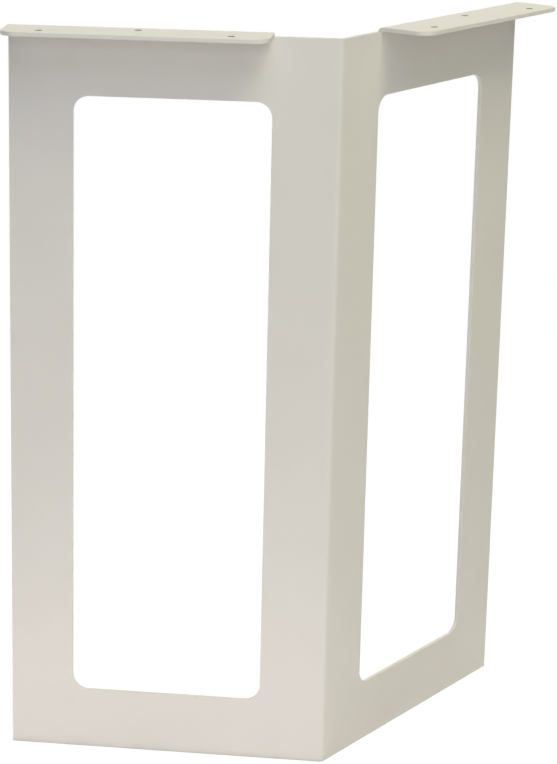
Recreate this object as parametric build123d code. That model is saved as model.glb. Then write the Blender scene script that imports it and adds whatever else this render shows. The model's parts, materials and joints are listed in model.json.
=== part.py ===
from build123d import *
import os
from math import cos, radians, sin, tan

# Boomerang table leg: one steel sheet, laser cut flat and then folded three times.
# An upright fold turns the sheet into a wide V. Each wing of the V has a tall window with
# rounded corners, and its top edge is folded outwards into a flange with three screw holes
# that carries the table top. Between the two flanges the top edge of the V stays unfolded.
#
# Millimetres, +Z up. The leg stands on Z = 0, the V is symmetric about X = 0 and opens
# towards +Y, and the origin is the middle of the leg's footprint on the floor.

# Sheet
sheet_thickness = 4.0
fold_radius = 2.0  # inside radius of every fold

# Leg
leg_height = 710.0  # floor to the underside of the table top
wing_angle = 120.0  # between the wings, inside the V
wing_length = 306.0  # outer face, from the sharp corner of the V to the free end

# Window in each wing: the frame of sheet that is left round it
window_end_margin = 60.0  # to the free end
window_fold_margin = 60.0  # to the sharp corner of the V, on the inner face
window_foot_margin = 60.0  # to the floor
window_top_margin = 60.0  # to the underside of the flange
window_corner_radius = 15.0

# Flange along the top of each wing
flange_length = 244.0  # from the free end of the wing
flange_reach = 50.0  # from the wing's outer face to the flange's front edge
flange_corner_radius = 15.0

# Screw holes: one near each end of the flange and one between, set back towards the wing
screw_hole_diameter = 7.0
screw_end_distance = 35.0  # end holes, to the flange's ends
screw_front_distance = 15.0  # end holes, to the flange's front edge
screw_back_distance = 15.0  # middle hole, to the wing's outer face

# Slit that lets the flange fold away from the unfolded top edge beside it
relief_width = 0.5
relief_depth = 1.0  # below the start of the flange's fold

# Rims of the outline and the windows, as deburring and the coating leave them
rim_radius = 0.5

# Worked out from the sizes above
outer_fold_radius = fold_radius + sheet_thickness
half_angle = radians(wing_angle / 2)
flange_start = wing_length - flange_length
flange_underside = leg_height - sheet_thickness
flange_fold_start = leg_height - outer_fold_radius
fold_corner_shift = sheet_thickness / tan(half_angle)  # inner corner of the V, along the wing
shortest_rim = 2 * sheet_thickness  # shorter edges, in the slits and across the sheet, stay sharp

# The right wing's outer face: X along the wing from the corner, Y up, Z outwards.
right_wing = Plane(
    origin=(0, 0, 0),
    x_dir=(sin(half_angle), cos(half_angle), 0),
    z_dir=(cos(half_angle), -sin(half_angle), 0),
)


def folded_section(start, corner, end, side):
    """Section of the sheet folded once; the points lie on the outside of the fold."""
    outside = FilletPolyline(start, corner, end, radius=outer_fold_radius)
    return make_face(offset(outside, amount=sheet_thickness, side=side))


def corner_post():
    """Upright fold of the V, out to the flanges, with its unfolded top edge."""
    reach_x = flange_start * sin(half_angle)
    reach_y = flange_start * cos(half_angle)
    section = folded_section((-reach_x, reach_y), (0, 0), (reach_x, reach_y), Side.LEFT)
    return extrude(section, amount=flange_underside)


def flanged_wing():
    """Wing from the corner post to its free end, with the flange folded out along its top."""
    section = folded_section(
        (0, -sheet_thickness),
        (leg_height, -sheet_thickness),
        (leg_height, flange_reach),
        Side.LEFT,
    )
    wing = extrude(Plane.YZ.offset(flange_start) * section, amount=flange_length)
    front_corners = wing.edges().filter_by(Axis.Y).group_by(Axis.Z)[-1]
    return fillet(front_corners, radius=flange_corner_radius)


def window():
    """Cutter for the window of a wing."""
    left = window_fold_margin + fold_corner_shift
    right = wing_length - window_end_margin
    bottom = window_foot_margin
    top = flange_underside - window_top_margin
    outline = Pos((left + right) / 2, (bottom + top) / 2) * RectangleRounded(
        right - left, top - bottom, window_corner_radius
    )
    return extrude(outline, amount=2 * sheet_thickness, both=True)


def screw_holes():
    """Cutters for the three screw holes of a flange."""
    front_row = flange_reach - screw_front_distance
    places = [
        (flange_start + screw_end_distance, front_row),
        (flange_start + flange_length / 2, screw_back_distance),
        (wing_length - screw_end_distance, front_row),
    ]
    flange_top = Plane(origin=(0, leg_height, 0), x_dir=(1, 0, 0), z_dir=(0, 1, 0))
    holes = [Pos(along, -out) * Circle(screw_hole_diameter / 2) for along, out in places]
    return extrude(flange_top * Sketch(holes), amount=2 * sheet_thickness, both=True)


def bend_relief():
    """Cutter for the slit between a flange and the unfolded top edge."""
    bottom = flange_fold_start - relief_depth
    slit = Pos(flange_start - relief_width / 2, (bottom + leg_height) / 2) * Rectangle(
        relief_width, leg_height - bottom
    )
    return extrude(slit, amount=2 * sheet_thickness, both=True)


def on_both_wings(shape):
    """The shape on the right wing, and its mirror image on the left one."""
    on_right = right_wing.location * shape
    return on_right + mirror(on_right, about=Plane.YZ)


def round_rims(sheet):
    """The sheet with the rims of its outline and windows rounded, on both of its faces."""
    normals = {}
    for face in sheet.faces():
        for edge in face.edges():
            normals.setdefault(edge, []).append(face.normal_at(edge @ 0.5))
    rims = [
        edge
        for edge, sides in normals.items()
        if edge.length > shortest_rim and sides[0].get_angle(sides[-1]) > 45
    ]
    return fillet(rims, radius=rim_radius)


def boomerang_leg():
    """The whole folded sheet, standing at the middle of its footprint."""
    leg = corner_post() + on_both_wings(flanged_wing())
    leg -= on_both_wings(window())
    leg -= on_both_wings(bend_relief())
    leg = round_rims(leg)
    leg -= on_both_wings(screw_holes())
    footprint = leg.bounding_box()
    return Pos(-footprint.center().X, -footprint.center().Y, -footprint.min.Z) * leg


os.makedirs("parts", exist_ok=True)
export_step(boomerang_leg(), "parts/boomerang_leg.step")
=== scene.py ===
"""Boomerang table leg: one folded steel sheet in a satin cream powder coat, in a white studio.

All lengths are metres in the leg's own frame: +Z up, the V opens towards +Y, and the origin is the
middle of the leg's footprint on the floor.
"""

import json
import logging
import math
from dataclasses import dataclass
from enum import Enum
from typing import Union

import bpy
from mathutils import Color, Matrix, Quaternion, Vector

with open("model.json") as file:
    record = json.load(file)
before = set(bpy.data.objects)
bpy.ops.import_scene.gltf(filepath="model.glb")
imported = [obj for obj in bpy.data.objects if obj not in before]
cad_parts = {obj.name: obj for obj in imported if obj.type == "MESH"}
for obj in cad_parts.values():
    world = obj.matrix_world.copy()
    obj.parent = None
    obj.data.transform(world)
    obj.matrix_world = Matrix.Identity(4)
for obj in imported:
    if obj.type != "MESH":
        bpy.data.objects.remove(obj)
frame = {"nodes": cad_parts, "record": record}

LOG = logging.getLogger("boomerang_leg")

Point = tuple[float, float, float]
Colour = tuple[float, float, float]
Feed = Union[bpy.types.Node, bpy.types.NodeSocket, float, str, tuple[float, ...]]

MILLIMETRE = 0.001
BRIGHTEST_PART = 255
UP: Point = (0.0, 0.0, 1.0)
WHITE: Colour = (1.0, 1.0, 1.0)

# Where the lamps are aimed, and the left wing's direction on the floor, in degrees from +X.
LEG_MIDDLE: Point = (0.0, 0.0, 0.35)
LEFT_WING_TURN = -30.0

# The Mix node's colour sockets come after those for numbers and vectors.
MIX_FIRST, MIX_SECOND, MIX_RESULT = 6, 7, 2


def from_srgb(red: int, green: int, blue: int) -> Colour:
    """Turn a colour as it is seen, in 0 to 255, into scene-linear light.

    Args:
        red: Red part, 0 to 255.
        green: Green part, 0 to 255.
        blue: Blue part, 0 to 255.

    Returns:
        The linear red, green and blue, 0 to 1.
    """
    seen = Color([part / BRIGHTEST_PART for part in (red, green, blue)])
    return tuple(seen.from_srgb_to_scene_linear())


class RayKind(Enum):
    """Kinds of ray that are shown the plain white studio, by their Light Path output."""

    CAMERA = "Is Camera Ray"
    GLOSSY = "Is Glossy Ray"
    TRANSMISSION = "Is Transmission Ray"


class NodeSheet:
    """The nodes of a material or of the surround, laid out one by one."""

    def __init__(self, owner: Union[bpy.types.Material, bpy.types.World]) -> None:
        """Start on an empty sheet.

        Args:
            owner: The material or surround that the nodes belong to.
        """
        owner.use_nodes = True
        self.tree = owner.node_tree
        self.tree.nodes.clear()

    def feed(self, socket: bpy.types.NodeSocket, value: Feed) -> None:
        """Give an input what it takes.

        Args:
            socket: The input.
            value: An output or a node, whose first output is linked, or the input's own value.
        """
        if isinstance(value, bpy.types.Node):
            value = value.outputs[0]
        if isinstance(value, bpy.types.NodeSocket):
            self.tree.links.new(value, socket)
        elif socket.type == "RGBA":
            socket.default_value = (*value, 1.0)
        else:
            socket.default_value = value

    def add(self, kind: str, *terms: Feed, **values: Feed) -> bpy.types.Node:
        """Add a node.

        Args:
            kind: Blender's name of the node type.
            terms: What its first inputs take, in order.
            values: Its properties, or what its inputs take, by name with underscores for spaces.

        Returns:
            The new node.
        """
        node = self.tree.nodes.new(kind)
        for socket, term in zip(node.inputs, terms):
            self.feed(socket, term)
        for name, value in values.items():
            if hasattr(node, name):
                setattr(node, name, value)
            else:
                self.feed(node.inputs[name.replace("_", " ")], value)
        return node

    def blend(self, share: Feed, first: Feed, second: Feed) -> bpy.types.NodeSocket:
        """Blend two colours.

        Args:
            share: How much of the second colour shows, 0 to 1.
            first: The colour that shows at 0.
            second: The colour that shows at 1.

        Returns:
            The blended colour.
        """
        mix = self.add("ShaderNodeMix", share, data_type="RGBA")
        self.feed(mix.inputs[MIX_FIRST], first)
        self.feed(mix.inputs[MIX_SECOND], second)
        return mix.outputs[MIX_RESULT]

    def seen_rays(self) -> bpy.types.NodeSocket:
        """Build the mask of the rays that are shown the plain white studio.

        Returns:
            An output that is 1 for those rays and 0 for the rays that carry light.
        """
        path = self.add("ShaderNodeLightPath")
        mask = path.outputs[RayKind.CAMERA.value]
        for kind in (RayKind.GLOSSY, RayKind.TRANSMISSION):
            either = self.add("ShaderNodeMath", mask, path.outputs[kind.value], operation="MAXIMUM")
            mask = either.outputs[0]
        return mask


@dataclass(frozen=True)
class ScrewHole:
    """A round hole for a screw, which both wings have, mirrored.

    Attributes:
        across: Its distance from the plane between the wings.
        along: Its place towards the open side of the V.
        radius: Its radius.
    """

    across: float
    along: float
    radius: float


@dataclass(frozen=True)
class Mottle:
    """A slight unevenness all over a film.

    Attributes:
        size: How far apart its spots lie.
        detail: How many times finer spots lie within the spots.
        fineness: How much the finer spots show, 0 to 1.
    """

    size: float
    detail: float
    fineness: float

    def spread(self, sheet: NodeSheet, place: bpy.types.NodeSocket) -> bpy.types.NodeSocket:
        """Lay the unevenness over a piece.

        Args:
            sheet: The material's nodes.
            place: The spot, in the leg's frame.

        Returns:
            An output between 0 and 1.
        """
        spots = sheet.add(
            "ShaderNodeTexNoise",
            Vector=place, Scale=1 / self.size, Detail=self.detail, Roughness=self.fineness,
        )
        return spots.outputs["Fac"]


@dataclass(frozen=True)
class PowderCoat:
    """Satin powder coat: a cream film with a fine orange peel and a faint cloudiness.

    The walls of the screw holes are painted a darker grey, as painted shade in the holes.

    Attributes:
        name: The material's name.
        cream: The film's colour.
        cloud: The film's colour where it is cloudiest.
        hole_shade_colour: The painted shade on the walls of the screw holes, a darker grey.
        hole_shade_fade: How far from a hole's wall the painted shade fades out.
        clouds: The cloudiness.
        peel: The orange peel.
        peel_depth: The peel's depth.
        smooth_roughness: The film's roughness in the peel's lowest spots.
        rough_roughness: The film's roughness on the peel's highest spots.
    """

    name: str = "powder_coat"
    cream: Colour = from_srgb(222, 218, 204)
    cloud: Colour = from_srgb(217, 212, 197)
    # Painted shade: the darker grey laid on the walls of the screw holes.
    hole_shade_colour: Colour = from_srgb(162, 157, 144)
    hole_shade_fade: float = 0.0004
    clouds: Mottle = Mottle(size=0.060, detail=3.0, fineness=0.55)
    peel: Mottle = Mottle(size=0.0011, detail=2.0, fineness=0.5)
    peel_depth: float = 0.00007
    smooth_roughness: float = 0.40
    rough_roughness: float = 0.50

    def hole_shade_mask(
        self, sheet: NodeSheet, place: bpy.types.NodeSocket, holes: list[ScrewHole],
    ) -> bpy.types.Node:
        """Find where the painted shade of the screw holes lies.

        Args:
            sheet: The material's nodes.
            place: The spot, in the leg's frame.
            holes: The screw holes of one wing.

        Returns:
            A node that gives 0 on the walls of the holes, where shade is painted, and 1 away from
            them.
        """
        parts = sheet.add("ShaderNodeSeparateXYZ", place)
        either_wing = sheet.add("ShaderNodeMath", parts.outputs["X"], operation="ABSOLUTE")
        spot = sheet.add("ShaderNodeCombineXYZ", either_wing, parts.outputs["Y"])
        from_walls: list[bpy.types.Node] = []
        for hole in holes:
            middle = (hole.across, hole.along, 0.0)
            reach = sheet.add("ShaderNodeVectorMath", spot, middle, operation="DISTANCE")
            from_wall = sheet.add(
                "ShaderNodeMath", reach.outputs["Value"], hole.radius, operation="SUBTRACT",
            )
            from_walls.append(from_wall)
        nearest = from_walls[0]
        for from_wall in from_walls[1:]:
            nearest = sheet.add("ShaderNodeMath", nearest, from_wall, operation="MINIMUM")
        return sheet.add(
            "ShaderNodeMapRange", nearest, interpolation_type="SMOOTHSTEP", From_Max=self.hole_shade_fade,
        )

    def material(self, holes: list[ScrewHole]) -> bpy.types.Material:
        """Build the finish.

        Args:
            holes: The screw holes of one wing.

        Returns:
            The material, in Object coordinates.
        """
        material = bpy.data.materials.new(self.name)
        sheet = NodeSheet(material)
        place = sheet.add("ShaderNodeTexCoord").outputs["Object"]
        mottled_coat = sheet.blend(self.clouds.spread(sheet, place), self.cream, self.cloud)
        # Painted shade: the walls of the screw holes get the darker grey, the rest the mottled
        # cream.
        colour = sheet.blend(self.hole_shade_mask(sheet, place, holes), self.hole_shade_colour, mottled_coat)
        peel = self.peel.spread(sheet, place)
        roughness = sheet.add(
            "ShaderNodeMapRange", peel, To_Min=self.smooth_roughness, To_Max=self.rough_roughness,
        )
        bumps = sheet.add("ShaderNodeBump", Height=peel, Distance=self.peel_depth)
        film = sheet.add(
            "ShaderNodeBsdfPrincipled", Base_Color=colour, Roughness=roughness, Normal=bumps,
        )
        sheet.add("ShaderNodeOutputMaterial", film)
        return material


@dataclass(frozen=True)
class FloorPaint:
    """White floor paint, which shows white and keeps a trace of the leg's shadow round the foot.

    Attributes:
        name: The material's name.
        paint: The paint's own colour, which the lamps' light meets.
        shade: How much of the lamps' light, and so of the shadow, shows round the foot.
        glow: How bright the floor shows there without that light.
        shade_fade: How far from the leg's middle the shadow starts to fade, and where it is gone.
    """

    name: str = "floor_paint"
    paint: Colour = (0.60, 0.60, 0.60)
    shade: Colour = (0.20, 0.20, 0.20)
    glow: float = 0.86
    shade_fade: tuple[float, float] = (0.6, 1.6)

    def material(self) -> bpy.types.Material:
        """Build the finish.

        Returns:
            The material, in Object coordinates.
        """
        material = bpy.data.materials.new(self.name)
        sheet = NodeSheet(material)
        place = sheet.add("ShaderNodeTexCoord").outputs["Object"]
        distance = sheet.add("ShaderNodeVectorMath", place, operation="LENGTH").outputs["Value"]
        fade_start, fade_end = self.shade_fade
        away = sheet.add(
            "ShaderNodeMapRange", distance, fade_start, fade_end, interpolation_type="SMOOTHSTEP",
        )
        glow = sheet.add("ShaderNodeEmission", Strength=self.glow)
        shade = sheet.add("ShaderNodeBsdfDiffuse", self.shade)
        near = sheet.add("ShaderNodeAddShader", glow, shade)
        far = sheet.add("ShaderNodeEmission", WHITE)
        seen = sheet.add("ShaderNodeMixShader", away, near, far)
        paint = sheet.add("ShaderNodeBsdfDiffuse", self.paint)
        floor = sheet.add("ShaderNodeMixShader", sheet.seen_rays(), paint, seen)
        sheet.add("ShaderNodeOutputMaterial", floor)
        return material


@dataclass
class FoldedLeg:
    """The leg itself: one folded sheet, which keeps the shape it was built with.

    Attributes:
        node: The sheet's name.
        coat: The sheet's finish.
    """

    node: str = "boomerang_leg"
    coat: PowderCoat = PowderCoat()

    def screw_holes(self) -> list[ScrewHole]:
        """Find the screw holes from the leg's mounts, which are pairs of holes, one in each wing.

        Returns:
            The holes of one wing, the one nearest to the fold first.
        """
        pairs = [mount for mount in frame["record"]["mounts"] if mount["kind"] == "bolt_pattern"]
        return [
            ScrewHole(
                across=pair["dims"]["spacing_x_mm"] / 2 * MILLIMETRE,
                along=pair["pos_m"][1],
                radius=pair["dims"]["hole_r_mm"] * MILLIMETRE,
            )
            for pair in pairs
        ]

    def dress(self) -> bpy.types.Object:
        """Give the sheet its finish.

        Returns:
            The dressed sheet.
        """
        leg = frame["nodes"][self.node]
        leg.data.materials.clear()
        leg.data.materials.append(self.coat.material(self.screw_holes()))
        return leg


class Tint(Enum):
    """Colours of the lamps' light."""

    PLAIN = WHITE
    WARM = (1.0, 0.99, 0.76)
    COOL = (0.66, 0.71, 1.0)
    ROSE = (1.0, 0.89, 0.99)


@dataclass(frozen=True)
class SoftBox:
    """A large soft studio lamp, which faces the leg and is never in the picture itself.

    Attributes:
        name: The lamp's name.
        place: Its middle.
        size: Its width and height.
        power: Its power, in watts.
        tint: The colour of its light.
        in_gloss: Whether it shows in the gloss of the coat.
    """

    name: str
    place: Point
    size: tuple[float, float]
    power: float
    tint: Tint = Tint.PLAIN
    in_gloss: bool = True

    def facing(self) -> Quaternion:
        """Find the turn that makes the lamp face the middle of the leg."""
        return (Vector(LEG_MIDDLE) - Vector(self.place)).to_track_quat("-Z", "Y")

    def hang(self) -> bpy.types.Object:
        """Put the lamp in the studio.

        Returns:
            The lamp.
        """
        lamp = bpy.data.lights.new(self.name, "AREA")
        lamp.shape = "RECTANGLE"
        lamp.size, lamp.size_y = self.size
        lamp.energy = self.power
        lamp.color = self.tint.value
        holder = bpy.data.objects.new(self.name, lamp)
        bpy.context.scene.collection.objects.link(holder)
        holder.location = self.place
        holder.rotation_mode = "QUATERNION"
        holder.rotation_quaternion = self.facing()
        holder.visible_camera = False
        holder.visible_glossy = self.in_gloss
        return holder


@dataclass(frozen=True)
class FloorPanel(SoftBox):
    """A panel that lies on the floor and shines upwards, as a white floor throws light back.

    Attributes:
        turn: Its turn on the floor, in degrees.
    """

    tint: Tint = Tint.ROSE
    in_gloss: bool = False
    turn: float = 0.0

    def facing(self) -> Quaternion:
        """Find the turn that makes the panel face upwards, in its own direction on the floor."""
        return Quaternion(UP, math.radians(self.turn)) @ Vector(UP).to_track_quat("-Z", "Y")


@dataclass(frozen=True)
class Studio:
    """White floor, white surround and soft lamps.

    Attributes:
        floor_half_width: Half the floor's side.
        floor_paint: The floor's finish.
        lamps: The lamps. Panels that overlap on the floor lie at heights of their own.
    """

    floor_half_width: float = 6.0
    floor_paint: FloorPaint = FloorPaint()
    lamps: tuple[SoftBox, ...] = (
        SoftBox("key", (0.57, -2.1, 4.15), (2.0, 2.0), 80.0, Tint.WARM),
        SoftBox("top", (0.0, -0.6, 4.5), (2.0, 2.0), 26.5),
        SoftBox("front", (0.0, -3.8, 2.55), (2.0, 2.0), 24.7, Tint.WARM, in_gloss=False),
        SoftBox("left", (-1.35, -2.75, 3.6), (1.6, 1.6), 33.5, Tint.COOL),
        SoftBox("low_left", (-1.5, -3.2, 1.2), (1.5, 1.5), 32.0, Tint.COOL, in_gloss=False),
        FloorPanel("floor_bounce", (-0.1, -0.31, 0.0003), (1.4, 0.88), 1.03),
        FloorPanel("left_bounce", (-0.29, -0.28, 0.0010), (0.60, 0.45), 0.51, turn=LEFT_WING_TURN),
        FloorPanel("foot_bounce", (-0.277, -0.015, 0.0016), (0.66, 0.17), 0.11, turn=LEFT_WING_TURN),
        SoftBox("back_left", (-1.6, 2.4, 1.2), (1.6, 1.6), 42.0, in_gloss=False),
        SoftBox("back_right", (1.6, 2.4, 1.2), (1.6, 1.6), 42.0, in_gloss=False),
    )

    def build(self) -> None:
        """Lay the floor, paint the surround and hang the lamps."""
        LOG.info("%s laid", self.lay_floor().name)
        LOG.info("%s painted", self.paint_surround().name)
        for lamp in self.lamps:
            LOG.info("%s hung", lamp.hang().name)

    def lay_floor(self) -> bpy.types.Object:
        """Make the floor.

        Returns:
            The floor.
        """
        half = self.floor_half_width
        corners = [(-half, -half, 0), (half, -half, 0), (half, half, 0), (-half, half, 0)]
        mesh = bpy.data.meshes.new("floor")
        mesh.from_pydata(corners, [], [(0, 1, 2, 3)])
        mesh.materials.append(self.floor_paint.material())
        floor = bpy.data.objects.new("floor", mesh)
        bpy.context.scene.collection.objects.link(floor)
        return floor

    def paint_surround(self) -> bpy.types.World:
        """Show white where nothing stands, which lights nothing by itself.

        Returns:
            The surround.
        """
        world = bpy.data.worlds.new("surround")
        bpy.context.scene.world = world
        sheet = NodeSheet(world)
        white = sheet.add("ShaderNodeBackground", WHITE, sheet.seen_rays())
        sheet.add("ShaderNodeOutputWorld", white)
        return world


@dataclass(frozen=True)
class PictureCamera:
    """The camera, in front of the outer side of the V, to its left and above it.

    Attributes:
        place: Its place.
        heading: How far it turns to the right from +Y, in degrees.
        dip: How far it looks down, in degrees.
        roll: How far it leans, in degrees.
        focal_pixels: Its focal length, in pixels of the picture.
        shift: The shift of its lens to the side and upwards, as shares of the picture's height.
        picture_height: The picture's longer side, in pixels.
        sensor: The sensor's longer side, in millimetres.
    """

    place: Point = (-0.9522, -2.0148, 1.0173)
    heading: float = 22.607
    dip: float = 15.172
    roll: float = -0.774
    focal_pixels: float = 2412.7
    shift: tuple[float, float] = (0.1150, -0.0663)
    picture_height: int = 764
    sensor: float = 36.0

    def set_up(self) -> bpy.types.Object:
        """Make the scene's camera.

        Returns:
            The camera.
        """
        heading, dip, roll = (math.radians(angle) for angle in (self.heading, self.dip, self.roll))
        ahead = Vector((
            math.sin(heading) * math.cos(dip), math.cos(heading) * math.cos(dip), -math.sin(dip),
        ))
        level = Vector((math.cos(heading), -math.sin(heading), 0.0))
        down = ahead.cross(level)
        right = math.cos(roll) * level + math.sin(roll) * down
        up = math.sin(roll) * level - math.cos(roll) * down
        lens = bpy.data.cameras.new("camera")
        lens.sensor_width = self.sensor
        lens.lens = self.focal_pixels / self.picture_height * self.sensor
        lens.shift_x, lens.shift_y = self.shift
        camera = bpy.data.objects.new("camera", lens)
        bpy.context.scene.collection.objects.link(camera)
        turn = Matrix((right, up, -ahead)).transposed()
        camera.matrix_world = Matrix.Translation(self.place) @ turn.to_4x4()
        bpy.context.scene.camera = camera
        return camera


def main() -> None:
    """Dress the leg, build the studio round it and set the camera."""
    logging.basicConfig(level=logging.INFO, format="%(name)s: %(message)s")
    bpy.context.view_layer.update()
    leg = FoldedLeg().dress()
    LOG.info("%s dressed, %d faces", leg.name, len(leg.data.polygons))
    Studio().build()
    LOG.info("%s set up", PictureCamera().set_up().name)
    bpy.context.scene.view_settings.view_transform = "Standard"


if __name__ == "__main__":
    main()
